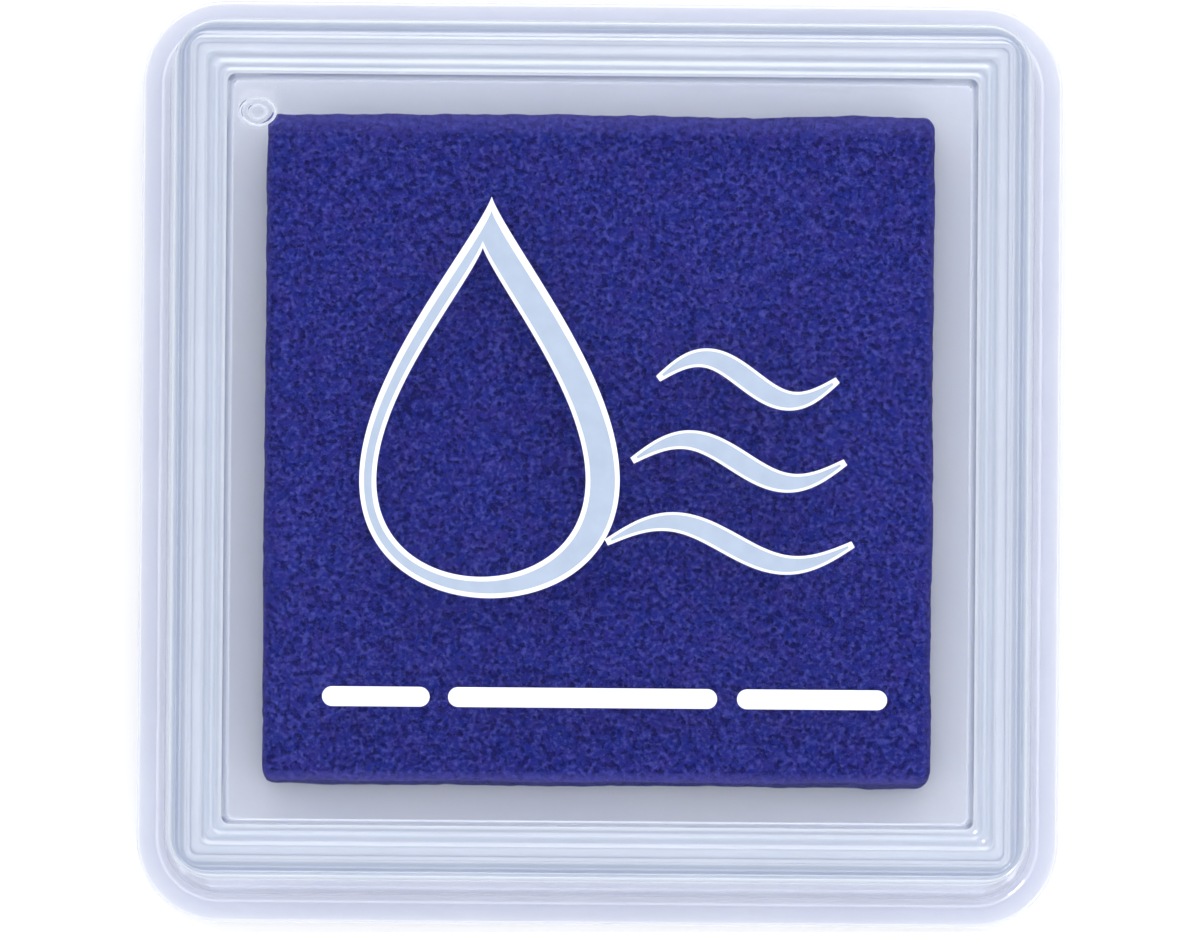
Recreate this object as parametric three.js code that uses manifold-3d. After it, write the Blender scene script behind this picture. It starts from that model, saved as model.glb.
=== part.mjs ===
// A small square ink pad for stamping: a moulded base with a raised foam block,
// and a clear snap-on lid with a printed window. Millimetres, +Z up.
// The origin is the middle of the base's foot, on the table.
import * as THREE from "three";
import { mergeVertices } from "three/addons/utils/BufferGeometryUtils.js";
import Module from "manifold-3d";

// ---- Driving dimensions -------------------------------------------------
const CASE_HALF = 16.5; // half the case's width over its two flanges
const CASE_CORNER_RADIUS = 3.0; // at the flanges, seen from above
const CASE_HEIGHT = 19.0; // foot to the top of the closed lid
const PARTING_Z = 6.0; // where the lid's flange sits on the base's flange
const EDGE = 0.15; // small moulded edge break
const BEND = 0.3; // rounding where two moulded walls meet

const SKIRT_WALL = 0.85; // base skirt below its flange
const SKIRT_DRAFT = 0.2; // how much narrower each side is at the foot
const INNER_DRAFT = 0.05; // how much wider the hollow is at the foot
const BASE_FLANGE = 1.4; // thickness of the base's flange
const DECK_Z = 9.6; // top of the raised deck that carries the foam
const DECK_PLATE = 1.2;
const DECK_WALL = 1.1;
const PLUG_HALF = 14.22; // the deck's side, which the lid plugs over
const PLUG_DRAFT = 0.07;
const PLUG_EDGE = 0.35; // rounding of the deck's top edge
const PLUG_BEAD = 0.12; // height of the snap bead round the plug
const BEAD_Z = 7.6; // middle of the snap bead
const BEAD_FLAT = 0.1; // half the height of the bead's crest
const BEAD_FOOT = 0.4; // half the height of the whole bead

const LID_FLANGE = 1.1; // thickness of the lid's finger flange
const LID_WALL = 1.08;
const LID_WALL_FOOT_HALF = 15.5; // outside of the lid's wall at its flange
const LID_WALL_TOP_HALF = 15.2; // outside of the lid's wall just under its rim
const SNAP_GROOVE = 0.1; // depth of the groove that takes the base's bead
const LEAD_IN = 0.3; // chamfer that guides the lid over the deck
const WINDOW_HALF = 13.2; // the sunk window
const WINDOW_DEPTH = 0.7; // how far the window lies below the stacking rim
const WINDOW_PLATE = 1.0;

// The stacking rim's ridges from the wall inwards: [inset from the wall, depth].
// The flat crown from 1 to 1.2 carries the pad that is stacked on top.
const RIM_RIDGES = [
  [0.12, 0],
  [0.3, 0.12],
  [0.42, 0.12],
  [0.7, 0.03],
  [0.86, 0.05],
  [1, 0],
  [1.2, 0],
  [1.37, 0.06],
  [1.58, 0.01],
  [1.71, 0.06],
  [1.85, 0.02],
];
const RIM_TIGHTENING = 2; // how fast the ridges' corner radius shrinks per mm of inset

const GATE_CENTRE = [-12.2, 11.95];
const GATE_OVAL = 1.3; // the gate mark is wider than it is tall
const GATE_ROOT = 0.2; // how deep the mark's body reaches into the window
// The gate mark's ring and button: [radius, height above the window].
const GATE_RINGS = [
  [0.56, -0.05],
  [0.47, 0.022],
  [0.38, -0.05],
  [0.31, -0.05],
  [0.23, 0.018],
  [0.1, 0.01],
  [0, 0.01],
];

const FOAM_HALF = 11.9;
const FOAM_CORNER_RADIUS = 0.5;
const FOAM_TOP_Z = 16.3;
const FOAM_EDGE = 0.35; // the cut edge's rounding
const FOAM_SHIFT = [-0.05, 0.2]; // the block is laid by hand, a little off centre
const TAPE_HALF = 11.5;
const TAPE_THICKNESS = 0.2;

const LABEL_HALF = 11.0;
const LABEL_CORNER_RADIUS = 1.0;
const LABEL_THICKNESS = 0.12;

const PRINT_THICKNESS = 0.06; // white ink film
const TINT_THICKNESS = 0.04; // pale second film on top of it
const PRINT_EDGE = 0.17; // white margin left round the pale film
const DROP_CENTRE = [-3.9, 1.9];
const DROP = { half: 4.6, top: 7.1, bottom: -7.1 };
const DROP_TIP_POINT = 1.4; // how sharply the drop narrows towards its tip
const DROP_SWELL = 1.4; // brings the widest part of that outline up to its half width
const DROP_HOLE = { half: 3.7, top: 5.3, bottom: -6.35, x: -0.3 };
const WAVE_SWING = 0.75; // how far a wave rises and falls
const WAVE_HALF = 0.42; // half a wave's width in its middle
const WAVE_TIP = 0.12; // and at its ends
// The waves: name, middle x and y, length.
const WAVES = [
  ["upper", 5.2, 2.6, 6.2],
  ["middle", 4.9, -0.3, 7.4],
  ["lower", 4.6, -3.2, 8.6],
];
const RULE_Y = -8.7;
const RULE_HEIGHT = 0.7;
// The rules: name, middle x, length.
const RULES = [
  ["left", -7.85, 3.8],
  ["middle", -0.55, 9.5],
  ["right", 7.55, 5.3],
];

// ---- Derived heights ----------------------------------------------------
const CORNER_CENTRE = CASE_HALF - CASE_CORNER_RADIUS; // shared by every wall
const SHARP_RADIUS = 0.3; // corner of anything inside that centre
const DECK_UNDERSIDE_Z = DECK_Z - DECK_PLATE;
const FLANGE_UNDERSIDE_Z = PARTING_Z - BASE_FLANGE;
const SKIRT_INNER_HALF = CASE_HALF - SKIRT_DRAFT - SKIRT_WALL;
const WINDOW_Z = CASE_HEIGHT - WINDOW_DEPTH;
const CEILING_Z = WINDOW_Z - WINDOW_PLATE;
const TAPE_TOP_Z = DECK_Z + TAPE_THICKNESS;

const CORNER_STEPS = 6;
const CURVE_STEPS = 6;
const GATE_STEPS = 24;
const wasm = await Module();
wasm.setup();

// ---- Helpers ------------------------------------------------------------
const walledCorner = (half) => Math.max(half - CORNER_CENTRE, SHARP_RADIUS);

/** The lid's corners follow its walls, but tighten faster across the ridged rim. */
function lidCorner(half, z) {
  const inset = LID_WALL_TOP_HALF - half;
  if (inset < 0 || z < CASE_HEIGHT - WINDOW_DEPTH) return walledCorner(half);
  return Math.max(walledCorner(LID_WALL_TOP_HALF) - RIM_TIGHTENING * inset, SHARP_RADIUS);
}

/** Drops the triangles that merging has closed up, such as those on the axis. */
function merged(geometry) {
  geometry.deleteAttribute("normal");
  geometry.deleteAttribute("uv");
  const joined = mergeVertices(geometry, 1e-4);
  const index = joined.index.array;
  const kept = [];
  for (let i = 0; i < index.length; i += 3) {
    const [a, b, c] = [index[i], index[i + 1], index[i + 2]];
    if (a !== b && b !== c && c !== a) kept.push(a, b, c);
  }
  joined.setIndex(kept);
  return joined;
}

/**
 * A lathe whose rounds are rounded squares: each profile point [half, z] is
 * half a width from the middle at height z. The profile runs anticlockwise.
 */
function squareLathe(profile, cornerRadius) {
  const perCorner = CORNER_STEPS + 1;
  const points = profile.map(([half, z]) => new THREE.Vector2(half, z));
  const geometry = new THREE.LatheGeometry(points, 4 * perCorner);
  const place = geometry.getAttribute("position");
  for (let v = 0; v < place.count; v++) {
    const [half, z] = profile[v % profile.length];
    const turn = Math.floor(v / profile.length) % (4 * perCorner);
    const corner = Math.floor(turn / perCorner);
    const radius = Math.min(cornerRadius(half, z), half);
    const middle = Math.PI / 4 + (corner * Math.PI) / 2;
    const angle = ((corner + (turn % perCorner) / CORNER_STEPS) * Math.PI) / 2;
    const reach = (half - radius) * Math.SQRT2;
    place.setXYZ(
      v,
      reach * Math.cos(middle) + radius * Math.cos(angle),
      reach * Math.sin(middle) + radius * Math.sin(angle),
      z,
    );
  }
  return merged(geometry);
}

function roundedSquare(half, radius) {
  const shape = new THREE.Shape();
  const reach = half - radius;
  for (let corner = 0; corner < 4; corner++) {
    const start = (corner * Math.PI) / 2;
    const x = reach * Math.SQRT2 * Math.cos(start + Math.PI / 4);
    const y = reach * Math.SQRT2 * Math.sin(start + Math.PI / 4);
    shape.absarc(x, y, radius, start, start + Math.PI / 2, false);
  }
  return shape;
}

function sheet(shape, thickness) {
  const options = { depth: thickness, bevelEnabled: false, curveSegments: CURVE_STEPS };
  return merged(new THREE.ExtrudeGeometry(shape, options));
}

function toSolid(geometry) {
  return new wasm.Manifold(
    new wasm.Mesh({
      numProp: 3,
      vertProperties: new Float32Array(geometry.getAttribute("position").array),
      triVerts: new Uint32Array(geometry.index.array),
    }),
  );
}

function toGeometry(solid) {
  const { vertProperties, triVerts } = solid.getMesh();
  const geometry = new THREE.BufferGeometry();
  geometry.setAttribute("position", new THREE.BufferAttribute(vertProperties, 3));
  geometry.setIndex(new THREE.BufferAttribute(triVerts, 1));
  geometry.computeVertexNormals();
  return geometry;
}

function piece(name, geometry, material, z = 0, [x, y] = [0, 0]) {
  const mesh = new THREE.Mesh(geometry, material);
  mesh.name = name;
  mesh.position.set(x, y, z);
  return mesh;
}

// ---- Materials ----------------------------------------------------------
const finish = (color, roughness, opacity = 1) =>
  new THREE.MeshStandardMaterial({
    color,
    roughness,
    metalness: 0,
    opacity,
    transparent: opacity < 1,
  });
const milkyPlastic = finish(0xd3d9e8, 0.35, 0.75);
const clearPlastic = finish(0xdfe6f2, 0.12, 0.35);
const inkedFoam = finish(0x2d3080, 0.9);
const clearTape = finish(0xe6e2d6, 0.6);
const paper = finish(0xf4f4f2, 0.8);
const whiteInk = finish(0xf4f7fc, 0.5);
const paleInk = finish(0xc7d7ee, 0.5);

// ---- Base ---------------------------------------------------------------

/** One hat-shaped moulding: a skirt, a flange and a raised deck, open below. */
function baseTray() {
  const footHalf = CASE_HALF - SKIRT_DRAFT;
  const plugInner = PLUG_HALF - DECK_WALL;
  const beadHalf = PLUG_HALF + PLUG_BEAD;
  const plugTop = PLUG_HALF - PLUG_DRAFT;
  return squareLathe(
    [
      [0, DECK_UNDERSIDE_Z],
      [plugInner - BEND, DECK_UNDERSIDE_Z],
      [plugInner, DECK_UNDERSIDE_Z - BEND],
      [plugInner + INNER_DRAFT, FLANGE_UNDERSIDE_Z],
      [SKIRT_INNER_HALF - BEND, FLANGE_UNDERSIDE_Z],
      [SKIRT_INNER_HALF, FLANGE_UNDERSIDE_Z - BEND],
      [SKIRT_INNER_HALF + INNER_DRAFT, 0],
      [footHalf - EDGE, 0],
      [footHalf, EDGE],
      [CASE_HALF, PARTING_Z - 2 * EDGE],
      [CASE_HALF - EDGE, PARTING_Z - EDGE / 2],
      [CASE_HALF - 2 * EDGE, PARTING_Z],
      [PLUG_HALF + BEND, PARTING_Z],
      [PLUG_HALF, PARTING_Z + BEND],
      [PLUG_HALF, BEAD_Z - BEAD_FOOT],
      [beadHalf, BEAD_Z - BEAD_FLAT],
      [beadHalf, BEAD_Z + BEAD_FLAT],
      [PLUG_HALF, BEAD_Z + BEAD_FOOT],
      [plugTop, DECK_Z - PLUG_EDGE],
      [plugTop - PLUG_EDGE / 3, DECK_Z - PLUG_EDGE / 3],
      [plugTop - PLUG_EDGE, DECK_Z],
      [0, DECK_Z],
    ],
    walledCorner,
  );
}

/** A cut block of fine foam with its top edge rounded over. */
function foamBlock() {
  const bend = FOAM_EDGE * (1 - Math.SQRT1_2);
  return squareLathe(
    [
      [0, TAPE_TOP_Z],
      [FOAM_HALF, TAPE_TOP_Z],
      [FOAM_HALF, FOAM_TOP_Z - FOAM_EDGE],
      [FOAM_HALF - bend, FOAM_TOP_Z - bend],
      [FOAM_HALF - FOAM_EDGE, FOAM_TOP_Z],
      [0, FOAM_TOP_Z],
    ],
    () => FOAM_CORNER_RADIUS,
  );
}

// ---- Lid ----------------------------------------------------------------

/** The lid's wall, finger flange, ridged stacking rim and sunk window. */
function lidShell() {
  const innerTop = LID_WALL_TOP_HALF - LID_WALL;
  const innerFoot = LID_WALL_FOOT_HALF - LID_WALL;
  const flangeTop = PARTING_Z + LID_FLANGE;
  const ridges = RIM_RIDGES.map(([inset, depth]) => [
    LID_WALL_TOP_HALF - inset,
    CASE_HEIGHT - depth,
  ]);
  return squareLathe(
    [
      [0, CEILING_Z],
      [innerTop - BEND, CEILING_Z],
      [innerTop, CEILING_Z - BEND],
      [innerFoot, BEAD_Z + BEAD_FOOT + SNAP_GROOVE],
      [innerFoot + SNAP_GROOVE, BEAD_Z + 2 * BEAD_FLAT],
      [innerFoot + SNAP_GROOVE, BEAD_Z - 2 * BEAD_FLAT],
      [innerFoot, BEAD_Z - BEAD_FOOT - SNAP_GROOVE],
      [innerFoot, PARTING_Z + LEAD_IN],
      [innerFoot + LEAD_IN, PARTING_Z],
      [CASE_HALF - 2 * EDGE, PARTING_Z],
      [CASE_HALF - EDGE, PARTING_Z + EDGE / 2],
      [CASE_HALF, PARTING_Z + 2 * EDGE],
      [CASE_HALF, flangeTop - EDGE],
      [CASE_HALF - EDGE, flangeTop],
      [LID_WALL_FOOT_HALF + BEND, flangeTop],
      [LID_WALL_FOOT_HALF, flangeTop + BEND],
      [LID_WALL_TOP_HALF, CASE_HEIGHT - EDGE],
      ...ridges,
      [WINDOW_HALF, WINDOW_Z],
      [0, WINDOW_Z],
    ],
    lidCorner,
  );
}

/** The faint oval witness of the mould's gate, near one corner of the window. */
function gateMark() {
  const [rim] = GATE_RINGS[0];
  const profile = [[0, -GATE_ROOT], [rim, -GATE_ROOT], ...GATE_RINGS];
  const points = profile.map(([radius, z]) => new THREE.Vector2(radius, z));
  const geometry = new THREE.LatheGeometry(points, GATE_STEPS);
  geometry.rotateX(Math.PI / 2);
  geometry.scale(GATE_OVAL, 1, 1);
  geometry.translate(...GATE_CENTRE, WINDOW_Z);
  return merged(geometry);
}

// ---- Print: a plain drop, three waves and three rules -------------------

/** Points of a teardrop, tip up and anticlockwise, between two heights. */
function dropOutline({ half, top, bottom, x = 0 }, steps = 48) {
  const points = [];
  for (let i = 0; i < steps; i++) {
    const turn = (2 * Math.PI * i) / steps;
    const swell = DROP_SWELL * Math.sin(turn) * Math.sin(turn / 2) ** DROP_TIP_POINT;
    const fall = (1 - Math.cos(turn)) / 2;
    points.push(new THREE.Vector2(x - half * swell, top + (bottom - top) * fall));
  }
  return points;
}

/** The drop's stroke is a loop, thicker on the right because its hole is off centre. */
function dropStroke(inset) {
  const outer = {
    half: DROP.half - inset,
    top: DROP.top - 3 * inset,
    bottom: DROP.bottom + inset,
  };
  const hole = {
    half: DROP_HOLE.half + inset,
    top: DROP_HOLE.top + 1.5 * inset,
    bottom: DROP_HOLE.bottom - inset,
    x: DROP_HOLE.x,
  };
  const shape = new THREE.Shape(dropOutline(outer));
  shape.holes.push(new THREE.Path(dropOutline(hole)));
  return shape;
}

/** A wave that swells in the middle and tapers to both of its ends. */
function waveStroke(length, inset, steps = 40) {
  const left = [];
  const right = [];
  const trim = inset / length;
  for (let i = 0; i <= steps; i++) {
    const s = trim + ((1 - 2 * trim) * i) / steps;
    const turn = 2 * Math.PI * s;
    const middle = new THREE.Vector2(length * (s - 0.5), WAVE_SWING * Math.sin(turn));
    const slope = (WAVE_SWING * 2 * Math.PI * Math.cos(turn)) / length;
    const swell = (WAVE_HALF - WAVE_TIP) * Math.sin(Math.PI * s);
    const width = WAVE_TIP + swell - 0.6 * inset;
    const aside = new THREE.Vector2(-slope, 1).setLength(width);
    left.push(middle.clone().add(aside));
    right.push(middle.clone().sub(aside));
  }
  return new THREE.Shape([...right, ...left.reverse()]);
}

function ruleStroke(length, height) {
  const radius = height / 2;
  const shape = new THREE.Shape();
  shape.absarc(length / 2 - radius, 0, radius, -Math.PI / 2, Math.PI / 2, false);
  shape.absarc(radius - length / 2, 0, radius, Math.PI / 2, (3 * Math.PI) / 2, false);
  return shape;
}

/** A white film with a slightly smaller pale film on top of it. */
function twoFilms(name, stroke, centre) {
  const white = sheet(stroke(0), PRINT_THICKNESS);
  const pale = sheet(stroke(PRINT_EDGE), TINT_THICKNESS);
  return [
    piece(`${name}_white`, white, whiteInk, WINDOW_Z, centre),
    piece(`${name}_tint`, pale, paleInk, WINDOW_Z + PRINT_THICKNESS, centre),
  ];
}

function lidPrint() {
  const made = twoFilms("print_drop", dropStroke, DROP_CENTRE);
  for (const [name, x, y, length] of WAVES) {
    const stroke = (inset) => waveStroke(length, inset);
    made.push(...twoFilms(`print_wave_${name}`, stroke, [x, y]));
  }
  for (const [name, x, length] of RULES) {
    const rule = sheet(ruleStroke(length, RULE_HEIGHT), PRINT_THICKNESS);
    made.push(piece(`print_rule_${name}`, rule, whiteInk, WINDOW_Z, [x, RULE_Y]));
  }
  return made;
}

// ---- Assembly -----------------------------------------------------------
const base = new THREE.Group();
const label = sheet(roundedSquare(LABEL_HALF, LABEL_CORNER_RADIUS), LABEL_THICKNESS);
const tape = sheet(roundedSquare(TAPE_HALF, FOAM_CORNER_RADIUS), TAPE_THICKNESS);
base.add(
  piece("base_tray", baseTray(), milkyPlastic),
  piece("underside_label", label, paper, DECK_UNDERSIDE_Z - LABEL_THICKNESS),
  piece("foam_tape", tape, clearTape, DECK_Z, FOAM_SHIFT),
  piece("ink_foam", foamBlock(), inkedFoam, 0, FOAM_SHIFT),
);

const lid = new THREE.Group();
const shell = toGeometry(toSolid(lidShell()).add(toSolid(gateMark())));
lid.add(piece("lid_shell", shell, clearPlastic), ...lidPrint());

const inkPad = new THREE.Group();
inkPad.add(base, lid);
export default inkPad;
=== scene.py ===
"""A small square stamping ink pad, closed, seen almost straight from above.

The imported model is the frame. The two mouldings, the foam and the printed films are
rebuilt here as fine meshes of the same size; the tape and the label stay and get their
materials. The scene is in metres, +Z up, and lengths below are in millimetres.
"""
import math

import bmesh
import bpy
from mathutils import Matrix, Vector, noise


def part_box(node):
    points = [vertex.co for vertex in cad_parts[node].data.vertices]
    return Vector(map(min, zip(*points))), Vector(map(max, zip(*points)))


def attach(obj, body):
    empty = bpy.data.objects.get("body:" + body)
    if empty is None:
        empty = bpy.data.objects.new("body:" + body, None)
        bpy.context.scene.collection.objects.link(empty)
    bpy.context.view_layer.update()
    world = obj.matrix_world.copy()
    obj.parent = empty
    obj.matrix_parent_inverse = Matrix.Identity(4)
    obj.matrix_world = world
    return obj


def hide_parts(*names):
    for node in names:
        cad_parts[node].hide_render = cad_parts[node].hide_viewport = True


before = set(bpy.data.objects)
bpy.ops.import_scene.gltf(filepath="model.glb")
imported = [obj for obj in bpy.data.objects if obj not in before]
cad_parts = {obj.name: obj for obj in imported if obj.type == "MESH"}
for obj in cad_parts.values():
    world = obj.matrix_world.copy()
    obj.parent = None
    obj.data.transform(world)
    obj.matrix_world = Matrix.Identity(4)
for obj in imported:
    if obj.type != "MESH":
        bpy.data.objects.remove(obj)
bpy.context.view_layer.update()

MM = 0.001

# ---- Driving dimensions, read from the frame where it has them -----------


def node_box(node):
    """A CAD node's lowest and highest corner in millimetres."""
    low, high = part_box(node)
    return low / MM, high / MM


base_high = node_box("base_tray")[1]
lid_low, lid_high = node_box("lid_shell")
foam_low, foam_high = node_box("ink_foam")

CASE_HALF = base_high.x
CASE_TOP = lid_high.z
PARTING_Z = lid_low.z
DECK_Z = base_high.z
DECK_UNDERSIDE_Z = node_box("underside_label")[1].z
WINDOW_Z = node_box("print_drop_white")[0].z

CORNER_CENTRE = CASE_HALF - 3.0  # every wall's corners are drawn round this point
SHARP_RADIUS = 0.3  # of the corners inside that point
FACE_GAP = 0.02  # daylight left between touching faces, so that neither hides in the other

BASE_FLANGE = 1.4
SKIRT_INNER_HALF = CASE_HALF - 1.05
SKIRT_DRAFT = 0.2  # how much narrower each side is at the foot
INNER_DRAFT = 0.05  # how much wider the hollow is at the foot
SHELF_INSET = 0.2  # how much narrower the hollow is up at the shelf
PLUG_HALF = CASE_HALF - 2.28  # the raised deck's side, which the lid fits over
PLUG_DRAFT = 0.07
DECK_WALL = 1.1
BEAD_Z = 7.6  # middle of the snap bead round the plug
BEAD_HEIGHT = 0.12
BEAD_FLAT = 0.1  # half the height of its crest
BEAD_BELOW, BEAD_ABOVE = 0.4, 0.5  # how far its slopes run from its middle

LID_FLANGE = 1.1
LID_WALL = 1.08
WALL_TOP_HALF = CASE_HALF - 1.3
WALL_FOOT_HALF = CASE_HALF - 1.0
SNAP_GROOVE = 0.1  # depth of the groove inside the lid that takes the bead
GROOVE_FLAT = 0.25  # half the height of its floor
GROOVE_FOOT = 0.65  # half the height of the whole groove
LEAD_IN = 0.3  # chamfer that guides the lid over the plug
WINDOW_HALF = CASE_HALF - 3.3
WINDOW_PLATE = 1.0
RIM_TIGHTENING = 2  # how fast the rim's corner radius shrinks as its ridges go inwards

# The rim's ridges from the wall inwards: inset from the wall's top, and depth.
RIM_RIDGES = (
    (0.12, 0),
    (0.3, 0.12),
    (0.42, 0.12),
    (0.7, 0.03),
    (0.86, 0.05),
    (1.2, 0),
    (1.37, 0.06),
    (1.58, 0.01),
    (1.71, 0.06),
)

CORNER_STEPS = 14
SIDE_STEPS = 40
ARC_STEPS = 6
SUPPORT = 0.03  # how far a flat's own edge loop lies from the round beside it

# ---- Node material helpers -----------------------------------------------

NOISE_LOW, NOISE_HIGH = 0.3, 0.7  # most of a noise's values lie between these


class Material:
    """A node material with one Principled shader and short ways to feed it."""

    def __init__(self, name, **values):
        self.data = bpy.data.materials.new(name)
        self.data.use_nodes = True
        self.tree = self.data.node_tree
        self.shader = self.tree.nodes["Principled BSDF"]
        self.place = self.node("ShaderNodeTexCoord").outputs["Object"]
        for socket, value in values.items():
            self.shader.inputs[socket.replace("_", " ")].default_value = value

    def node(self, kind, inputs=None, **settings):
        """A new node with its inputs linked or filled in."""
        made = self.tree.nodes.new(kind)
        for key, value in settings.items():
            setattr(made, key, value)
        for key, value in (inputs or {}).items():
            if isinstance(value, bpy.types.NodeSocket):
                self.tree.links.new(value, made.inputs[key])
            else:
                made.inputs[key].default_value = value
        return made

    def noise(self, size_mm, detail=2.0, roughness=0.5):
        """Noise whose blotches are about size_mm across."""
        inputs = {
            "Vector": self.place,
            "Scale": 1 / (size_mm * MM),
            "Detail": detail,
            "Roughness": roughness,
        }
        return self.node("ShaderNodeTexNoise", inputs).outputs["Fac"]

    def cells(self, size_mm):
        """Distance from the middle of the nearest of cells about size_mm across."""
        inputs = {"Vector": self.place, "Scale": 1 / (size_mm * MM)}
        return self.node("ShaderNodeTexVoronoi", inputs).outputs["Distance"]

    def ramp(self, factor, stops, interpolation="LINEAR"):
        """A colour ramp; stops are (position, grey or colour)."""
        made = self.node("ShaderNodeValToRGB", {"Fac": factor})
        made.color_ramp.interpolation = interpolation
        elements = made.color_ramp.elements
        while len(elements) < len(stops):
            elements.new(0.5)
        for element, (position, colour) in zip(elements, stops):
            element.position = position
            if isinstance(colour, (int, float)):
                colour = (colour, colour, colour)
            element.color = (*colour, 1)
        return made.outputs["Color"]

    def vary(self, factor, low, high):
        """Runs from low to high over the values that a noise mostly has."""
        return self.ramp(factor, [(NOISE_LOW, low), (NOISE_HIGH, high)])

    def mix(self, factor, a, b, blend="MIX"):
        """Colour a with as much of colour b as the factor says."""
        inputs = {0: factor, 6: a, 7: b}
        made = self.node("ShaderNodeMix", inputs, data_type="RGBA", blend_type=blend)
        return made.outputs[2]

    def maths(self, operation, a, b=0.0):
        """The result of one sum."""
        return self.node("ShaderNodeMath", {0: a, 1: b}, operation=operation).outputs[0]

    def feed(self, socket, value):
        """Links a value to one of the shader's own sockets."""
        self.tree.links.new(value, self.shader.inputs[socket])

    def bump(self, height, depth_mm, normal=None):
        """A normal that tilts as if the surface rose by the height times depth_mm."""
        inputs = {"Height": height, "Distance": depth_mm * MM}
        if normal:
            inputs["Normal"] = normal
        return self.node("ShaderNodeBump", inputs).outputs["Normal"]


def srgb(red, green, blue):
    """Linear colour of 8-bit sRGB values."""
    return tuple(
        c / 12.92 if c <= 0.04045 else ((c + 0.055) / 1.055) ** 2.4
        for c in (red / 255, green / 255, blue / 255)
    )


# ---- Materials -------------------------------------------------------------

PLASTIC_IOR = 1.49
CLEAR_TINT = 0.98, 0.98, 0.985, 1  # of the light that the lid lets through
MILKY_RADIUS = 1.0, 1.0, 1.05  # blue light reaches a little deeper than red and green


def open_to_lamps(made):
    """Lets the lamps' light through to what the clear plastic covers."""
    shadow = made.node("ShaderNodeLightPath").outputs["Is Shadow Ray"]
    gap = made.node("ShaderNodeBsdfTransparent", {"Color": CLEAR_TINT})
    surfaces = {0: shadow, 1: made.shader.outputs[0], 2: gap.outputs[0]}
    both = made.node("ShaderNodeMixShader", surfaces)
    output = made.tree.nodes["Material Output"]
    made.tree.links.new(both.outputs[0], output.inputs["Surface"])


def clear_window():
    """The thin flat window: clear, faintly scuffed, and open to the lamps' light."""
    made = Material(
        "clear_window_plastic",
        Base_Color=(*srgb(247, 249, 254), 1),
        IOR=PLASTIC_IOR,
        Transmission_Weight=1.0,
    )
    handling = made.noise(7, 3)
    made.feed("Roughness", made.ramp(handling, [(0.35, 0.02), (0.75, 0.06)]))
    made.feed("Normal", made.bump(made.noise(3.2, 1), 0.006))
    open_to_lamps(made)
    return made.data


def height_share(made, low, high):
    """How far up a point lies between two heights in millimetres, from 0 to 1."""
    height = made.node("ShaderNodeSeparateXYZ", {0: made.place}).outputs["Z"]
    limits = {"Value": height, "From Min": low * MM, "From Max": high * MM}
    return made.node("ShaderNodeMapRange", limits).outputs["Result"]


def clear_wall():
    """The lid's thin wall: clear, clouding over towards the rim and the flange."""
    made = Material("clear_wall_plastic", IOR=PLASTIC_IOR)
    share = height_share(made, PARTING_Z, CASE_TOP)
    clearness = made.ramp(share, [(0.1, 0.3), (0.2, 0.97), (0.86, 0.97), (0.94, 0.45)], "EASE")
    made.feed("Transmission Weight", clearness)
    clouds = made.noise(6, 3)
    made.feed("Base Color", made.vary(clouds, srgb(226, 230, 242), srgb(232, 236, 246)))
    handling = made.noise(1.5, 4)
    made.feed("Roughness", made.vary(handling, 0.02, 0.06))
    made.feed("Normal", made.bump(made.noise(3.4, 2), 0.006))
    open_to_lamps(made)
    return made.data


def milky_lid_plastic():
    """The thick rim and flange of the lid: milky inside, glossy outside, with painted shade in the
    rim's grooves and painted light on its lip and on the flange.
    """
    made = Material(
        "milky_lid_plastic",
        IOR=PLASTIC_IOR,
        Subsurface_Weight=1.0,
        Subsurface_Radius=MILKY_RADIUS,
        Subsurface_Scale=0.0012,
        Coat_Weight=1.0,
        Coat_Roughness=0.05,
        Coat_IOR=1.8,
    )
    share = height_share(made, PARTING_Z, CASE_TOP)
    clouds = made.noise(4, 3)
    rim = made.vary(clouds, srgb(181, 191, 209), srgb(185, 195, 213))
    # Painted light: the flange is coloured lighter than the rim, though both are the same plastic, to
    # make up for the light that the thin flange lets through.
    flange = made.vary(clouds, srgb(208, 212, 228), srgb(212, 216, 231))
    # Painted shade: the rim's colour is multiplied darker where its surface dips below the ridges'
    # tops, in its grooves.
    groove_painted_shade = made.ramp(share, [(0.99, srgb(238, 240, 246)), (0.9945, (1, 1, 1))])
    rim = made.mix(1.0, rim, groove_painted_shade, "MULTIPLY")
    # Painted light: a lighter colour on the lip round the window, which keeps its steep edge from
    # showing as a dark line.
    lip_painted_light = made.ramp(share, [(0.955, 1), (0.985, 0)])
    rim = made.mix(lip_painted_light, rim, (*srgb(204, 211, 226), 1))
    made.feed("Base Color", made.mix(made.ramp(share, [(0.1, 0), (0.2, 1)]), flange, rim))
    made.feed("Transmission Weight", made.ramp(share, [(0.09, 0.1), (0.2, 0.35)], "EASE"))
    handling = made.noise(1.5, 4)
    made.feed("Roughness", made.vary(handling, 0.29, 0.36))
    made.feed("Coat Normal", made.bump(made.noise(2.4, 2), 0.006))
    open_to_lamps(made)
    return made.data


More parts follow.
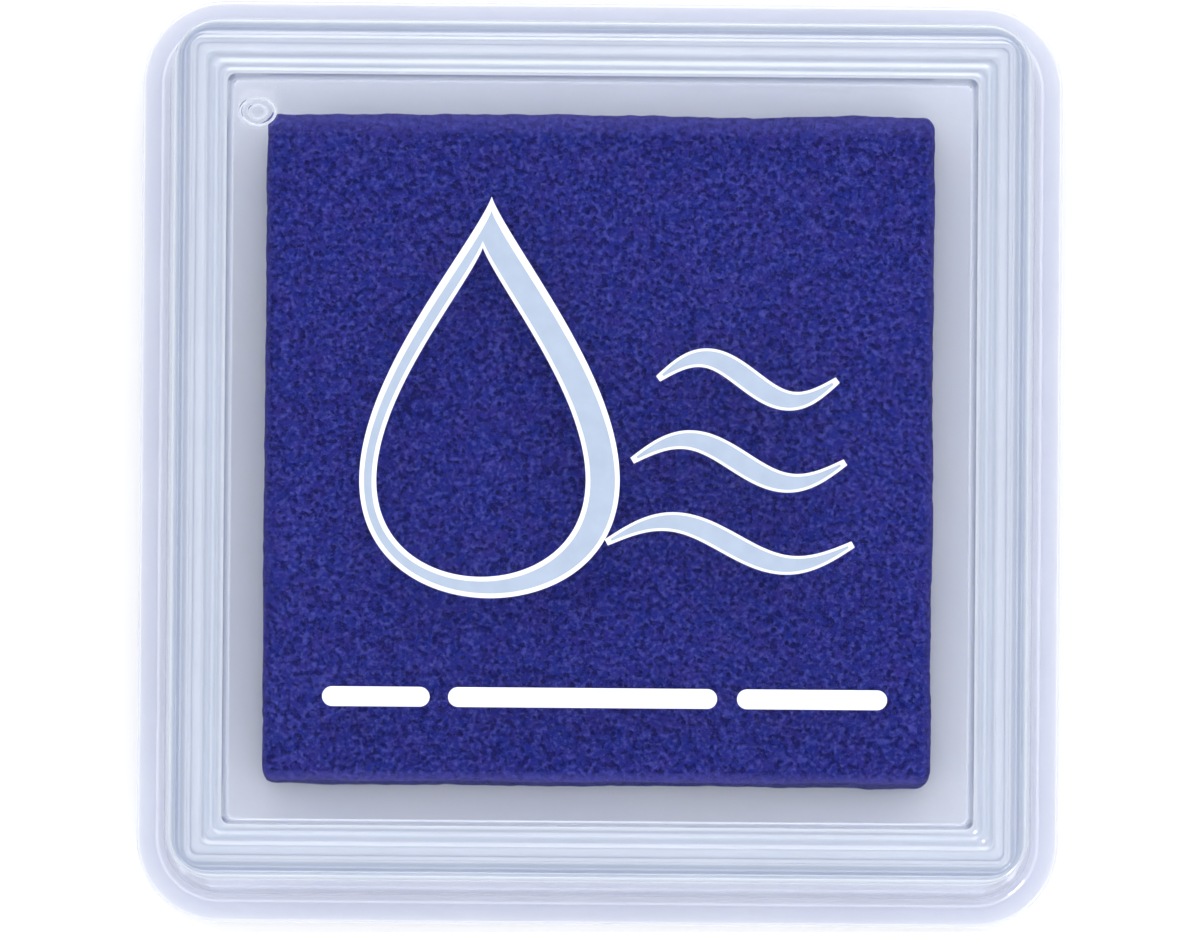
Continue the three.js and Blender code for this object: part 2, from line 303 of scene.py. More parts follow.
def milky_base_plastic():
    """The base: milky white all through, finely matted, a little greyer low down, its deck painted
    lighter as painted light in the well round the foam.
    """
    made = Material(
        "milky_base_plastic",
        IOR=PLASTIC_IOR,
        Subsurface_Weight=1.0,
        Subsurface_Radius=MILKY_RADIUS,
        Subsurface_Scale=0.0015,
    )
    clouds = made.noise(5, 3)
    # Painted light: the deck is coloured lighter than the skirt, to lighten the shaded well round the
    # foam.
    deck = made.vary(clouds, srgb(234, 237, 252), srgb(239, 242, 254))
    skirt = made.vary(clouds, srgb(210, 214, 229), srgb(214, 218, 232))
    share = height_share(made, PARTING_Z + 1, DECK_Z - 1)
    made.feed("Base Color", made.mix(share, skirt, deck))
    handling = made.noise(0.5, 4)
    made.feed("Roughness", made.vary(handling, 0.3, 0.4))
    made.feed("Normal", made.bump(made.noise(0.16, 3), 0.004))
    return made.data


# Where the foam's top edges are paler, as painted light where their rounded edges catch the lamps:
# axis, edge, how far inwards, and how strongly.
PAINTED_EDGE_LIGHT = (
    ("Y", foam_low.y, 0.45, 1),
    ("Y", foam_high.y, -0.9, 0.75),
    ("X", foam_low.x, 0.3, 0.4),
    ("X", foam_high.x, -0.4, 0.4),
)


def painted_edge_light(made, colour):
    """Mixes a frayed, paler band into the colour along the foam's top edges: painted light on the
    rounded edges.
    """
    axes = made.node("ShaderNodeSeparateXYZ", {0: made.place}).outputs
    near_top = height_share(made, foam_high.z - 1.2, foam_high.z - 0.3)
    for axis, edge, inward, share in PAINTED_EDGE_LIGHT:
        limits = {
            "Value": axes[axis],
            "From Min": (edge + inward) * MM,
            "From Max": (edge + inward * 0.2) * MM,
            "To Max": share,
        }
        reach = made.node("ShaderNodeMapRange", limits).outputs["Result"]
        reach = made.maths("MULTIPLY", reach, near_top)
        frayed = made.ramp(made.noise(0.2, 3), [(0.3, 0.5), (0.6, 1)])
        edge_light_share = made.maths("MULTIPLY", reach, frayed)
        # Painted light: the paler colour stands in for the lamps' light on the rounded top edges.
        colour = made.mix(edge_light_share, colour, (*srgb(84, 80, 166), 1))
    return colour


def inked_foam():
    """Fine foam soaked in violet-blue pigment: mottled, open-pored and matt, with painted shade in its
    pores and painted light along its top edges.
    """
    made = Material("inked_foam", IOR=1.4, Specular_IOR_Level=0.3)
    body, violet = srgb(13, 29, 120), srgb(34, 29, 119)
    pale, pore_shade = srgb(66, 71, 154), srgb(0, 2, 86)
    patches = made.ramp(made.noise(0.9, 4, 0.6), [(0.4, 0), (0.62, 1)])
    colour = made.mix(patches, (*body, 1), (*violet, 1))
    specks = made.ramp(made.noise(0.17, 3, 0.6), [(0.48, 0), (0.68, 0.9)])
    colour = made.mix(specks, colour, (*pale, 1))
    # Painted shade: the pores' pits are coloured dark, as the shade in them.
    dots = made.ramp(made.cells(0.32), [(0.2, 1), (0.36, 0)])
    open_cells = made.ramp(made.noise(0.7, 3), [(0.42, 0), (0.58, 1)])
    shadows = made.ramp(made.noise(0.21, 2), [(0.34, 0.9), (0.48, 0)])
    pore_shade_mask = made.maths("MAXIMUM", made.maths("MULTIPLY", dots, open_cells), shadows)
    colour = made.mix(pore_shade_mask, colour, (*pore_shade, 1))
    made.feed("Base Color", painted_edge_light(made, colour))
    made.feed("Roughness", made.vary(made.noise(0.3, 2), 0.65, 0.9))
    rough = made.bump(made.noise(0.16, 2, 0.5), 0.03)
    made.feed("Normal", made.bump(pore_shade_mask, -0.06, normal=rough))
    return made.data


def printing_ink(name, low, high):
    """An opaque ink film, slightly uneven between two near colours."""
    made = Material(name, IOR=1.45)
    made.feed("Base Color", made.vary(made.noise(0.6, 4), low, high))
    made.feed("Roughness", made.vary(made.noise(0.3, 2), 0.35, 0.5))
    made.feed("Normal", made.bump(made.noise(0.12, 2), 0.003))
    return made.data


def adhesive_film():
    """The tape: streaky, yellowish and half glossy."""
    made = Material("adhesive_film", IOR=1.47)
    streaks = made.noise(1.5, 4)
    made.feed("Base Color", made.vary(streaks, srgb(214, 209, 196), srgb(229, 225, 214)))
    made.feed("Roughness", made.vary(streaks, 0.35, 0.55))
    made.feed("Normal", made.bump(made.noise(0.4, 3), 0.02))
    return made.data


# Printed areas of the label: centre x and y, half width and half height.
LABEL_PATCH = 0, 3.6, 8.4, 4.4
LABEL_BARS = (0, -3.2, 8.4, 0.4), (-1.6, -5.1, 6.8, 0.4), (-3.4, -7, 5, 0.4)


def inside_box(made, axes, box):
    """1 inside a rectangle of the label and 0 outside it."""
    x, y, half_x, half_y = box
    sides = []
    for axis, centre, half in (("X", x, half_x), ("Y", y, half_y)):
        off_centre = made.maths("SUBTRACT", axes[axis], centre * MM)
        distance = made.maths("ABSOLUTE", off_centre)
        sides.append(made.maths("LESS_THAN", distance, half * MM))
    return made.maths("MULTIPLY", *sides)


def label_paper():
    """White paper with a patch of the ink's colour and three blank grey bars."""
    made = Material("label_paper", IOR=1.45)
    fibres = made.noise(0.35, 5, 0.7)
    colour = made.vary(fibres, srgb(236, 236, 232), srgb(247, 247, 244))
    axes = made.node("ShaderNodeSeparateXYZ", {0: made.place}).outputs
    dots = made.noise(0.12, 2)
    patch = made.vary(dots, srgb(46, 46, 128), srgb(58, 56, 142))
    grey = made.vary(dots, srgb(168, 170, 180), srgb(182, 184, 192))
    colour = made.mix(inside_box(made, axes, LABEL_PATCH), colour, patch)
    for bar in LABEL_BARS:
        colour = made.mix(inside_box(made, axes, bar), colour, grey)
    made.feed("Base Color", colour)
    made.feed("Roughness", made.vary(fibres, 0.45, 0.62))
    made.feed("Normal", made.bump(fibres, 0.006))
    return made.data


def studio_floor():
    """Plain pale paper."""
    made = Material("studio_floor", Roughness=0.85, IOR=1.2)
    made.feed("Base Color", made.vary(made.noise(90, 2), 0.9, 0.93))
    return made.data


# ---- Mesh helpers ----------------------------------------------------------


def walled_corner(half):
    """The corner radius of a wall that is half wide from the middle."""
    return max(half - CORNER_CENTRE, SHARP_RADIUS)


def lid_corner(half):
    """The lid's corners tighten faster than its walls do, from the wall's top inwards."""
    if half >= WALL_TOP_HALF:
        return walled_corner(half)
    tightened = walled_corner(WALL_TOP_HALF) - RIM_TIGHTENING * (WALL_TOP_HALF - half)
    return max(tightened, SHARP_RADIUS)


def rounded(profile):
    """The profile [half, z, fillet] with every fillet as an arc between two supports."""
    out = [Vector(profile[0][:2])]
    for before, here, after in zip(profile, profile[1:], profile[2:]):
        corner, radius = Vector(here[:2]), here[2]
        back = (Vector(before[:2]) - corner).normalized()
        ahead = (Vector(after[:2]) - corner).normalized()
        opening = back.angle(ahead)
        reach = radius / math.tan(opening / 2)
        centre = corner + (back + ahead).normalized() * radius / math.sin(opening / 2)
        start, end = corner + back * reach, corner + ahead * reach
        out.append(start + back * SUPPORT)
        first, last = start - centre, end - centre
        for step in range(ARC_STEPS + 1):
            share = step / ARC_STEPS
            out.append(centre + radius * first.slerp(last, share))
        out.append(end + ahead * SUPPORT)
    out.append(Vector(profile[-1][:2]))
    return out


def eased(keys, steps=6):
    """Points that roll smoothly from one key (half, z) to the next."""
    out = []
    for (half, z), (next_half, next_z) in zip(keys, keys[1:]):
        for step in range(steps):
            share = step / steps
            roll = (1 - math.cos(math.pi * share)) / 2
            out.append(Vector((half + (next_half - half) * share, z + (next_z - z) * roll)))
    return out


def ring_points(half, z, radius):
    """Points once round a rounded square, the same number whatever its size."""
    points = []
    reach = half - radius
    for corner in range(4):
        turn = Matrix.Rotation(corner * math.pi / 2, 3, "Z")
        for step in range(1, SIDE_STEPS):
            side = reach * (2 * step / SIDE_STEPS - 1)
            points.append(turn @ Vector((half, side, z)))
        for step in range(CORNER_STEPS + 1):
            angle = step / CORNER_STEPS * math.pi / 2
            x = reach + radius * math.cos(angle)
            y = reach + radius * math.sin(angle)
            points.append(turn @ Vector((x, y, z)))
    return points


def sweep(mesh, profile, corner=walled_corner):
    """Rings of faces round the profile; returns the rings of vertices."""
    rings = []
    for half, z in profile:
        points = ring_points(half, z, min(corner(half), half))
        rings.append([mesh.verts.new(p) for p in points])
    count = len(rings[0])
    for inner, outer in zip(rings, rings[1:]):
        for i in range(count):
            j = (i + 1) % count
            mesh.faces.new((inner[i], inner[j], outer[j], outer[i]))
    return rings


def fill_flat(mesh, loops):
    """Fills the flat inside one loop, round any other loops that are holes in it."""
    edges = []
    for loop in loops:
        for a, b in zip(loop, loop[1:] + loop[:1]):
            edges.append(mesh.edges.get((a, b)) or mesh.edges.new((a, b)))
    bmesh.ops.triangle_fill(mesh, edges=edges, use_beauty=True)


def finish_mesh(name, mesh, materials, body, nodes):
    """Turns a bmesh in millimetres into a smooth riding piece for the CAD nodes."""
    bmesh.ops.recalc_face_normals(mesh, faces=mesh.faces)
    bmesh.ops.scale(mesh, vec=(MM, MM, MM), verts=mesh.verts)
    data = bpy.data.meshes.new(name)
    mesh.to_mesh(data)
    mesh.free()
    data.shade_smooth()
    piece = bpy.data.objects.new(name, data)
    for material in materials:
        data.materials.append(material)
    bpy.context.scene.collection.objects.link(piece)
    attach(piece, body)
    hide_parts(*nodes)
    return piece


# ---- Base and lid ----------------------------------------------------------


def make_base(material):
    """The hat-shaped base: skirt, flange and raised deck, open underneath."""
    shelf = PARTING_Z - BASE_FLANGE
    flange = PARTING_Z - FACE_GAP
    plug_inner = PLUG_HALF - DECK_WALL
    bead_half = PLUG_HALF + BEAD_HEIGHT
    profile = rounded(
        [
            (plug_inner - 0.5, DECK_UNDERSIDE_Z, 0),
            (plug_inner, DECK_UNDERSIDE_Z, 0.3),
            (plug_inner + 2 * INNER_DRAFT, shelf, 0.2),
            (SKIRT_INNER_HALF - SHELF_INSET, shelf, 0.3),
            (SKIRT_INNER_HALF + INNER_DRAFT, 0, 0.12),
            (CASE_HALF - SKIRT_DRAFT, 0, 0.15),
            (CASE_HALF, flange, 0.22),
            (PLUG_HALF, flange, 0.2),
            (PLUG_HALF, BEAD_Z - BEAD_BELOW, 0.2),
            (bead_half, BEAD_Z - BEAD_FLAT, 0.1),
            (bead_half, BEAD_Z + BEAD_FLAT, 0.1),
            (PLUG_HALF, BEAD_Z + BEAD_ABOVE, 0.2),
            (PLUG_HALF - PLUG_DRAFT, DECK_Z, 0.35),
            (PLUG_HALF - 0.8, DECK_Z, 0),
        ]
    )
    mesh = bmesh.new()
    rings = sweep(mesh, profile)
    mesh.faces.new(rings[0])
    mesh.faces.new(rings[-1])
    return finish_mesh("base_moulding", mesh, [material], "base", ["base_tray"])


GATE_CENTRE = Vector((-12.2, 11.95, WINDOW_Z))
GATE_OVAL = 1.3  # the gate mark is wider than it is tall
GATE_HAZE = 0.015  # above this height its rings are cloudy
GATE_STEPS = 40
# The gate mark's ring and button: radius, and height above the window.
GATE_KEYS = (0.54, 0), (0.47, 0.022), (0.4, 0), (0.3, 0), (0.23, 0.018), (0.12, 0.01)


def gate_rings(mesh):
    """The faint oval ring and button of the moulding gate; returns its outer loop."""
    rings = []
    for radius, height in eased(GATE_KEYS):
        ring = []
        for i in range(GATE_STEPS):
            angle = 2 * math.pi * i / GATE_STEPS
            x, y = GATE_OVAL * radius * math.cos(angle), radius * math.sin(angle)
            ring.append(mesh.verts.new(GATE_CENTRE + Vector((x, y, height))))
        rings.append(ring)
    for outer, inner in zip(rings, rings[1:]):
        for i in range(GATE_STEPS):
            j = (i + 1) % GATE_STEPS
            mesh.faces.new((outer[i], outer[j], inner[j], inner[i]))
    mesh.faces.new(rings[-1])
    return rings[0]


RIPPLE = 0.03  # how far the moulded surfaces sink at most
RIPPLE_LENGTH = 2.5
MILKY, CLEAR_WINDOW, CLEAR_WALL = range(3)  # the lid's material slots


def lid_profile(flange_top, ceiling):
    """The lid's section: up inside the wall, round the flange, over the rim and in."""
    flange_foot = PARTING_Z + FACE_GAP
    inner_top = WALL_TOP_HALF - LID_WALL
    inner_foot = WALL_FOOT_HALF - LID_WALL
    groove_half = inner_foot + SNAP_GROOVE
    lip_half, lip_z = WINDOW_HALF + 0.15, CASE_TOP - 0.02
    ridges = [(WALL_TOP_HALF - inset, CASE_TOP - depth) for inset, depth in RIM_RIDGES]
    outside = rounded(
        [
            (inner_top - 0.8, ceiling, 0),
            (inner_top, ceiling, 0.35),
            (inner_foot, BEAD_Z + GROOVE_FOOT, 0.1),
            (groove_half, BEAD_Z + GROOVE_FLAT, 0.1),
            (groove_half, BEAD_Z - GROOVE_FLAT, 0.1),
            (inner_foot, BEAD_Z - GROOVE_FOOT, 0.1),
            (inner_foot + 0.03, PARTING_Z + 0.4, 0.1),
            (inner_foot + 0.03 + LEAD_IN, flange_foot, 0.08),
            (CASE_HALF, flange_foot, 0.2),
            (CASE_HALF, flange_top, 0.1),
            (WALL_FOOT_HALF, flange_top, 0.3),
            (WALL_TOP_HALF, CASE_TOP - 0.02, 0.1),
            (*ridges[0], 0),
        ]
    )
    inside = rounded(
        [
            (lip_half, lip_z, 0),
            (WINDOW_HALF + 0.06, CASE_TOP - 0.03, 0.04),
            (WINDOW_HALF - 0.06, WINDOW_Z, 0.12),
            (WINDOW_HALF - 0.25, WINDOW_Z, 0),
        ]
    )
    return outside[:-1] + eased(ridges + [(lip_half, lip_z)]) + inside


def lid_slot(middle, flange_top, ceiling):
    """Which of the lid's materials a face whose middle is given has."""
    in_plate = abs(middle.z - WINDOW_Z) < WINDOW_PLATE + 0.01
    in_window = max(abs(middle.x), abs(middle.y)) < WINDOW_HALF - 0.16
    hazy = middle.z > WINDOW_Z + GATE_HAZE
    if in_plate and in_window and not hazy:
        return CLEAR_WINDOW
    if flange_top + 1 < middle.z < ceiling - 1:
        return CLEAR_WALL
    return MILKY


def make_lid(materials):
    """The lid: finger flange, wall, ridged stacking rim and sunk clear window."""
    flange_top = PARTING_Z + LID_FLANGE
    ceiling = WINDOW_Z - WINDOW_PLATE
    mesh = bmesh.new()
    rings = sweep(mesh, lid_profile(flange_top, ceiling), lid_corner)
    mesh.faces.new(rings[0])
    for vertex in (v for ring in rings for v in ring):
        on_flange = flange_top - 0.2 < vertex.co.z < flange_top + 0.1
        if on_flange or vertex.co.z > WINDOW_Z + 0.3:
            vertex.co.z -= RIPPLE * (1 + noise.noise(vertex.co / RIPPLE_LENGTH)) / 2
    fill_flat(mesh, [rings[-1], gate_rings(mesh)])
    for face in mesh.faces:
        face.material_index = lid_slot(face.calc_center_median(), flange_top, ceiling)
    return finish_mesh("lid_moulding", mesh, materials, "lid", ["lid_shell"])


# ---- Foam ------------------------------------------------------------------

TINY = 1e-4
FOAM_CENTRE = (foam_low + foam_high) / 2
FOAM_HALF = (foam_high - foam_low) / 2
FOAM_STEPS = 150  # faces along one side of the block
FOAM_ROWS = 26  # faces up one side of the block
FOAM_TOP_EDGE, FOAM_SIDE_EDGE = 0.45, 0.5  # radii of the block's rounded edges
FOAM_INSET, FOAM_BULGE = 0.09, 0.08  # the skin lies this far in, and rises this far at most
# The skin's unevenness: how many waves in a millimetre, how high, and where in the noise.
FOAM_WAVES = (0.35, 0.07, (0, 0, 0)), (1.4, 0.035, (0, 0, 0)), (3.1, 0.03, (7, 3, 1))


def foam_surface(i, j, height):
    """A point of the block's skin at a step across and back, and a height from 0 to 1."""
    u, v = 2 * i / FOAM_STEPS - 1, 2 * j / FOAM_STEPS - 1
    return Vector(
        (
            FOAM_CENTRE.x + u * FOAM_HALF.x,
            FOAM_CENTRE.y + v * FOAM_HALF.y,
            foam_low.z + height * (foam_high.z - foam_low.z),
        )
    )


def foam_top(mesh):
    """The block's top as a grid of faces; returns the vertices round its rim."""
    last = FOAM_STEPS
    grid = {}
    for i in range(last + 1):
        for j in range(last + 1):
            grid[i, j] = mesh.verts.new(foam_surface(i, j, 1))
    for i in range(last):
        for j in range(last):
            mesh.faces.new((grid[i, j], grid[i + 1, j], grid[i + 1, j + 1], grid[i, j + 1]))
    rim = [(i, 0) for i in range(last)] + [(last, j) for j in range(last)]
    rim += [(last - i, last) for i in range(last)] + [(0, last - j) for j in range(last)]
    return {key: grid[key] for key in rim}


def make_foam(material):
    """The cut foam block: a fine skin with rounded top edges, wavy cuts and pits."""
    mesh = bmesh.new()
    rim = foam_top(mesh)
    upper = list(rim.values())
    for row in range(1, FOAM_ROWS + 1):
        height = 1 - row / FOAM_ROWS
        lower = [mesh.verts.new(foam_surface(i, j, height)) for i, j in rim]
        for k in range(len(rim)):
            m = (k + 1) % len(rim)
            mesh.faces.new((upper[k], upper[m], lower[m], lower[k]))
        upper = lower
    mesh.faces.new(upper)
    shape_foam(mesh)
    piece = finish_mesh("foam_pad", mesh, [material], "base", ["ink_foam"])
    return piece


def shape_foam(mesh):
    """Rounds the block's edges and roughens its skin; its underside stays flat."""
    reach_x, reach_y = FOAM_HALF.x - FOAM_SIDE_EDGE, FOAM_HALF.y - FOAM_SIDE_EDGE
    for vertex in mesh.verts:
        place = vertex.co - FOAM_CENTRE
        inner = Vector(
            (
                max(-reach_x, min(reach_x, place.x)),
                max(-reach_y, min(reach_y, place.y)),
                min(FOAM_HALF.z - FOAM_TOP_EDGE, place.z),
            )
        )
        out = place - inner
        facing = Vector((0, 0, 1))
        if out.length > TINY:
            facing = out.normalized()
            radius = FOAM_SIDE_EDGE + (FOAM_TOP_EDGE - FOAM_SIDE_EDGE) * max(0.0, facing.z)
            place = inner + facing * min(radius, out.length)
        rise = 0
        for waves, height, shift in FOAM_WAVES:
            rise += height * noise.noise(vertex.co * waves + Vector(shift))
        place += facing * (min(rise, FOAM_BULGE) - FOAM_INSET)
        if place.z < -FOAM_HALF.z + 0.01 or vertex.co.z < foam_low.z + TINY:
            place.z = -FOAM_HALF.z
        vertex.co = FOAM_CENTRE + place


# ---- Printed films ---------------------------------------------------------

PRINT_MARGIN = 0.17  # white left showing round the pale film
DROP_HALF, DROP_TOP, DROP_BOTTOM = 4.6, 7.1, -7.1
HOLE_HALF, HOLE_TOP, HOLE_BOTTOM, HOLE_X = 3.7, 5.3, -6.35, -0.3
DROP_TIP_POINT = 1.4  # how sharply the drop narrows towards its tip
DROP_SWELL = 1.4  # brings the widest part of that outline up to its half width
WAVE_SWING = 0.75  # how far a wave rises and falls
WAVE_HALF, WAVE_TIP = 0.42, 0.12  # half a wave's width in its middle and at its ends
WAVE_MARGIN = 0.6  # share of the margin that a wave has along its sides


def drop_outline(half_width, top, bottom, x=0.0, steps=200):
    """A teardrop, tip up, between two heights."""
    points = []
    for i in range(steps):
        turn = 2 * math.pi * i / steps
        swell = DROP_SWELL * math.sin(turn) * math.sin(turn / 2) ** DROP_TIP_POINT
        fall = (1 - math.cos(turn)) / 2
        points.append(Vector((x - half_width * swell, top + (bottom - top) * fall)))
    return points


def drop_loops(inset):
    """The drop's outline and its off-centre hole; a margin is longer at their tips."""
    outer = drop_outline(DROP_HALF - inset, DROP_TOP - 3 * inset, DROP_BOTTOM + inset)
    hole_top, hole_bottom = HOLE_TOP + 1.5 * inset, HOLE_BOTTOM - inset
    return [outer, drop_outline(HOLE_HALF + inset, hole_top, hole_bottom, HOLE_X)]


def wave_loops(length, inset, steps=120):
    """A wave that swells in the middle and tapers to both of its ends."""
    trim = inset / length
    left, right = [], []
    for i in range(steps + 1):
        s = trim + (1 - 2 * trim) * i / steps
        turn = 2 * math.pi * s
        slope = WAVE_SWING * 2 * math.pi * math.cos(turn) / length
        middle = Vector((length * (s - 0.5), WAVE_SWING * math.sin(turn)))
        width = WAVE_TIP + (WAVE_HALF - WAVE_TIP) * math.sin(math.pi * s) - inset * WAVE_MARGIN
        aside = Vector((-slope, 1)).normalized() * width
        left.append(middle + aside)
        right.append(middle - aside)
    return [right + left[::-1]]


def rule_loops(length, height, steps=16):
    """A bar with round ends."""
    radius = height / 2
    points = []
    for end, start in ((1, -90), (-1, 90)):
        for i in range(steps + 1):
            angle = math.radians(start + 180 * i / steps)
            x = end * (length / 2 - radius) + radius * math.cos(angle)
            points.append(Vector((x, radius * math.sin(angle))))
    return [points]


FILM_LIFT = 0.002  # daylight under a film, so that it doesn't hide in what it lies on
FILM_CREASE = math.radians(40)  # edges that turn by more than this stay sharp


def make_film(node, loops, material):
    """A thin printed film, centred where its CAD node is."""
    low, high = node_box(node)
    centre = (low + high) / 2
    outline = loops[0]
    xs, ys = [p.x for p in outline], [p.y for p in outline]
    shift = Vector((centre.x - (min(xs) + max(xs)) / 2, centre.y - (min(ys) + max(ys)) / 2))
    mesh = bmesh.new()
    floors, roofs = [], []
    for loop in loops:
        placed = [p + shift for p in loop]
        floors.append([mesh.verts.new((p.x, p.y, low.z + FILM_LIFT)) for p in placed])
        roofs.append([mesh.verts.new((p.x, p.y, high.z)) for p in placed])
        floor, roof = floors[-1], roofs[-1]
        for i in range(len(loop)):
            j = (i + 1) % len(loop)
            mesh.faces.new((floor[i], floor[j], roof[j], roof[i]))
    fill_flat(mesh, floors)
    fill_flat(mesh, roofs)
    piece = finish_mesh(node.replace("print", "film"), mesh, [material], "lid", [node])
    piece.data.set_sharp_from_angle(angle=FILM_CREASE)
    return piece


def make_print(white, pale):
    """The drop, waves and rules: white films, and smaller pale ones on all but the rules."""
    kinds = (("white", white, 0, "white_ink"), ("tint", pale, PRINT_MARGIN, "pale_ink"))
    for kind, material, inset, slot in kinds:
        make_film(f"print_drop_{kind}", drop_loops(inset), material)
        for level in ("upper", "middle", "lower"):
            low, high = node_box(f"print_wave_{level}_white")
            length = high.x - low.x
            loops = wave_loops(length, inset)
            make_film(f"print_wave_{level}_{kind}", loops, material)
    for side in ("left", "middle", "right"):
        low, high = node_box(f"print_rule_{side}")
        loops = rule_loops(high.x - low.x, high.y - low.y)
        make_film(f"print_rule_{side}", loops, white)


# ---- Label and tape --------------------------------------------------------


def dress(node, material):
    """Gives a CAD node that stays its procedural material."""
    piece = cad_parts[node]
    piece.data.materials.clear()
    piece.data.materials.append(material)


# ---- Studio ----------------------------------------------------------------

FLOOR_HALF, FLOOR_LEVEL = 4.0, -0.0001  # metres; just below the foot


def make_floor(material):
    """The pale studio floor."""
    data = bpy.data.meshes.new("studio_floor")
    corners = [(-1, -1), (1, -1), (1, 1), (-1, 1)]
    points = [(FLOOR_HALF * x, FLOOR_HALF * y, FLOOR_LEVEL) for x, y in corners]
    data.from_pydata(points, [], [(0, 1, 2, 3)])
    data.materials.append(material)
    floor = bpy.data.objects.new("studio_floor", data)
    bpy.context.scene.collection.objects.link(floor)


def make_lamp(name, azimuth, elevation, distance, width, height, power):
    """A soft box aimed at the pad, in degrees, metres and watts.

    Azimuth 0 is in front and 90 is to the right.
    """
    light = bpy.data.lights.new(name, "AREA")
    light.shape = "RECTANGLE"
    light.size, light.size_y = width, height
    light.energy = power
    lamp = bpy.data.objects.new(name, light)
    turn, rise = math.radians(azimuth), math.radians(elevation)
    across, back = math.sin(turn) * math.cos(rise), -math.cos(turn) * math.cos(rise)
    aim = Vector((across, back, math.sin(rise)))
    lamp.location = aim * distance
    lamp.rotation_mode = "QUATERNION"
    lamp.rotation_quaternion = aim.to_track_quat("Z", "Y")
    bpy.context.scene.collection.objects.link(lamp)
    return lamp


LIT_CORNER = 15, -15, 19  # the rim's front right corner


def make_lamps():
    """Four lamps, each with only the kind of light that it is there for."""
    # Draws the shine along the ridges; the surround does the rest.
    back_box = make_lamp(
        "back_box", azimuth=172, elevation=50, distance=0.5, width=0.5, height=0.2, power=0.95
    )
    back_box.visible_diffuse = False
    # Lights the well round the foam without veiling the window.
    top_box = make_lamp(
        "top_box", azimuth=0, elevation=88, distance=1.0, width=0.25, height=0.25, power=1.3
    )
    top_box.visible_glossy = False
    top_box.visible_transmission = False
    # Makes the small glints on the ridges at one corner.
    corner_spot = make_lamp(
        "corner_spot", azimuth=48, elevation=58, distance=0.15, width=0.028, height=0.028, power=0.0006
    )
    corner_spot.location += Vector(LIT_CORNER) * MM
    corner_spot.data.spread = math.radians(14)
    corner_spot.visible_diffuse = False
    corner_spot.visible_transmission = False
    # Fills the shade in front of the foam.
    front_box = make_lamp(
        "front_box", azimuth=15, elevation=35, distance=0.5, width=0.4, height=0.15, power=0.4
    )
    front_box.visible_glossy = False
    front_box.visible_transmission = False


WORLD_FRONT, WORLD_BACK = 0.69, 1.05  # the surround's strength in front and behind
HORIZON_SHARE, HORIZON_TOP = 0.9, 0.6  # of that strength low down, and where it ends
OVERHEAD = 2.3  # how much brighter the soft box overhead is than the walls
OVERHEAD_EDGES = 0.79, 0.87  # heights on the unit dome where the soft box begins
GAP_SHARE = 0.03  # of the light left in the gap where the camera hangs
GAP_EDGES = 0.991, 0.9965


def graded(share, from_low, from_high, low, high):
    """Runs smoothly from low to high while share runs between its two limits."""
    tree = share.id_data
    made = tree.nodes.new("ShaderNodeMapRange")
    made.interpolation_type = "SMOOTHSTEP"
    limits = {"From Min": from_low, "From Max": from_high, "To Min": low, "To Max": high}
    for socket, value in limits.items():
        made.inputs[socket].default_value = value
    tree.links.new(share, made.inputs["Value"])
    return made.outputs["Result"]


def product(a, b):
    """Two values of the world multiplied."""
    tree = a.id_data
    made = tree.nodes.new("ShaderNodeMath")
    made.operation = "MULTIPLY"
    tree.links.new(a, made.inputs[0])
    tree.links.new(b, made.inputs[1])
    return made.outputs[0]


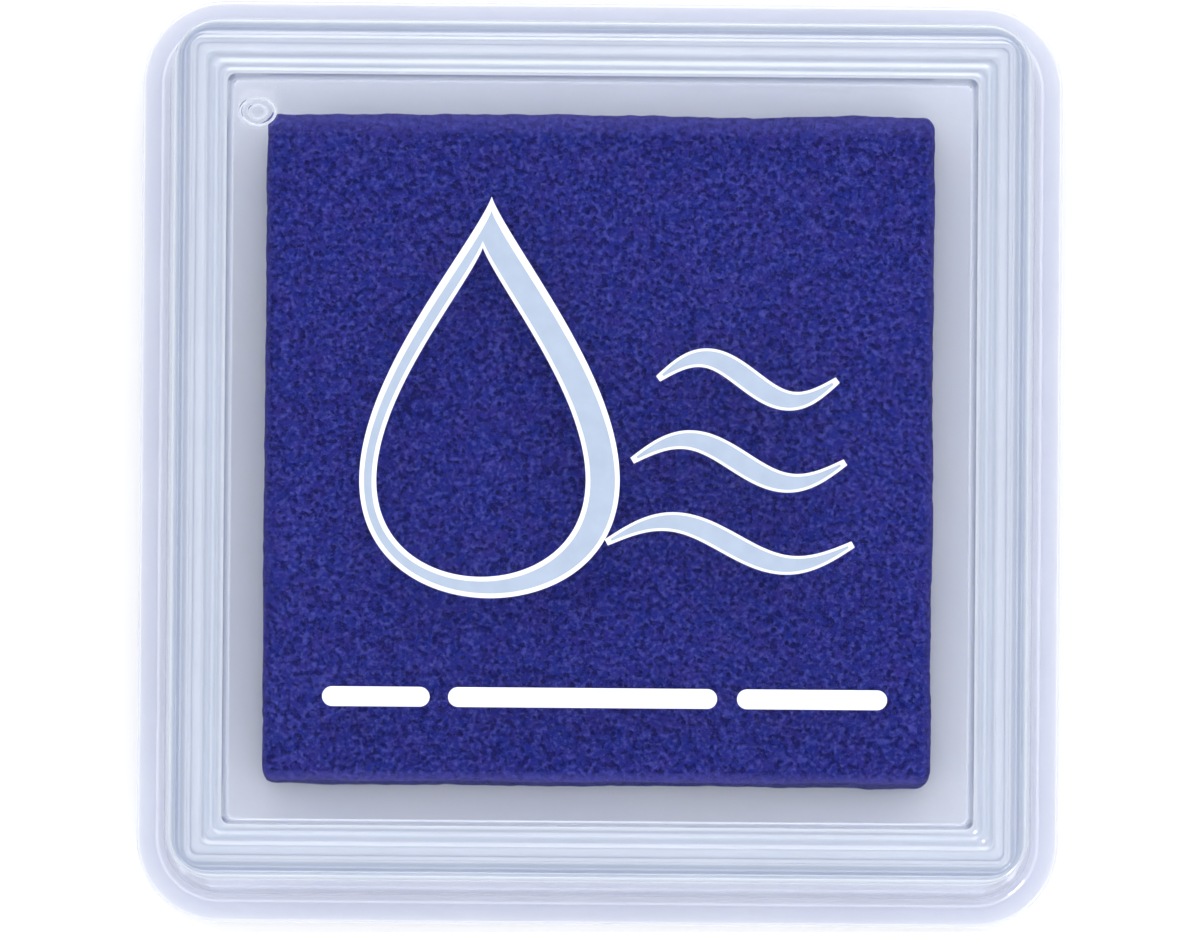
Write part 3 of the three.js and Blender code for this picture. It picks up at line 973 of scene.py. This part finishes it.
def make_world():
    """A pale surround with a soft box overhead, and a dark gap in it for the camera."""
    world = bpy.data.worlds.new("studio")
    bpy.context.scene.world = world
    world.use_nodes = True
    tree = world.node_tree
    direction = tree.nodes.new("ShaderNodeTexCoord").outputs["Generated"]
    split = tree.nodes.new("ShaderNodeSeparateXYZ")
    tree.links.new(direction, split.inputs[0])
    back, up = split.outputs["Y"], split.outputs["Z"]
    depth = graded(back, -1, 1, WORLD_FRONT, WORLD_BACK)
    height = graded(up, 0, HORIZON_TOP, HORIZON_SHARE, 1)
    overhead = graded(up, *OVERHEAD_EDGES, 1, OVERHEAD)
    gap = graded(up, *GAP_EDGES, 1, GAP_SHARE)
    background = tree.nodes["Background"]
    background.inputs["Color"].default_value = (1, 1, 1, 1)
    strength = product(product(depth, height), product(overhead, gap))
    tree.links.new(strength, background.inputs["Strength"])


CAMERA_TILT = math.radians(2.15)  # leans towards the front edge
CAMERA_ROLL = math.radians(0.45)
CAMERA_DISTANCE = 0.8  # metres
SENSOR_WIDTH = 36
CASE_SHARE = 920 / 1200  # of the picture's width
CAMERA_TARGET = 0, -0.036, PARTING_Z


def make_camera():
    """Looks almost straight down at the middle of the case."""
    data = bpy.data.cameras.new("camera")
    data.sensor_width = SENSOR_WIDTH
    field = 2 * CASE_HALF * MM / CASE_SHARE
    data.lens = SENSOR_WIDTH * CAMERA_DISTANCE / field
    camera = bpy.data.objects.new("camera", data)
    target = Vector(CAMERA_TARGET) * MM
    lean = Matrix.Rotation(CAMERA_TILT, 4, "X")
    roll = Matrix.Rotation(CAMERA_ROLL, 4, "Z")
    back = Matrix.Translation((0, 0, CAMERA_DISTANCE))
    camera.matrix_world = Matrix.Translation(target) @ lean @ back @ roll
    bpy.context.scene.collection.objects.link(camera)
    bpy.context.scene.camera = camera


# ---- Assembly --------------------------------------------------------------

make_camera()
make_floor(studio_floor())
make_world()
make_lamps()

make_base(milky_base_plastic())
make_lid([milky_lid_plastic(), clear_window(), clear_wall()])
make_foam(inked_foam())
make_print(
    printing_ink("white_ink", srgb(234, 238, 246), srgb(242, 245, 251)),
    printing_ink("pale_ink", srgb(161, 176, 199), srgb(168, 183, 206)),
)
dress("foam_tape", adhesive_film())
dress("underside_label", label_paper())

bpy.context.scene.view_settings.view_transform = "Standard"
